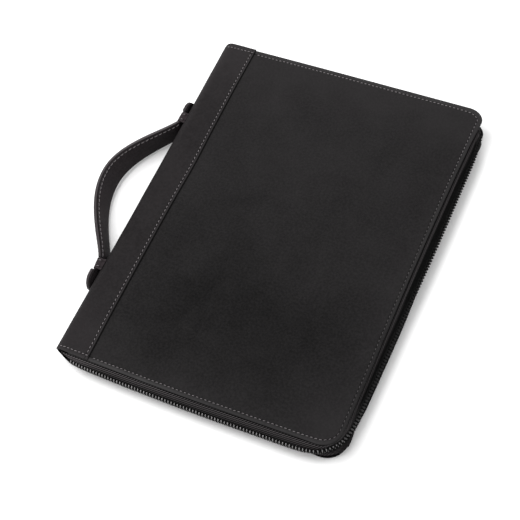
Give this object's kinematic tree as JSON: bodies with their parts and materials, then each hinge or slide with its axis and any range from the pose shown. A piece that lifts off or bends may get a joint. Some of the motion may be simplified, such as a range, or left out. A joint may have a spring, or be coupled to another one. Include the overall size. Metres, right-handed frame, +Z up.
{
  "type": "leather tablet sleeve",
  "caption": "Flat zip-round leather tablet sleeve with a wrapped spine, a metal zip along its free sides and a carry strap arching off the spine.",
  "frame": {"origin": "on the surface it lies on, under the middle of the whole object with its handle", "axes": "+X from the spine to the free edge, +Y along the spine, +Z up through the front cover"},
  "size_m": [0.3034, 0.3558, 0.026],
  "materials": {
    "leather": "soft matte, fine grain",
    "band_leather": "soft matte, fine grain",
    "strap_leather": "soft matte, fine grain",
    "tape": "matte twill",
    "zip_metal": "gunmetal"
  },
  "bodies": {
    "root": {"front_cover": "leather", "back_cover": "leather", "spine_band": "band_leather", "zip_tape_front": "tape", "zip_tape_back": "tape", "zip_chain": "zip_metal", "zip_slider": "zip_metal", "handle_strap": "strap_leather", "handle_keeper_near": "band_leather", "handle_keeper_far": "band_leather"}
  },
  "joints": []
}
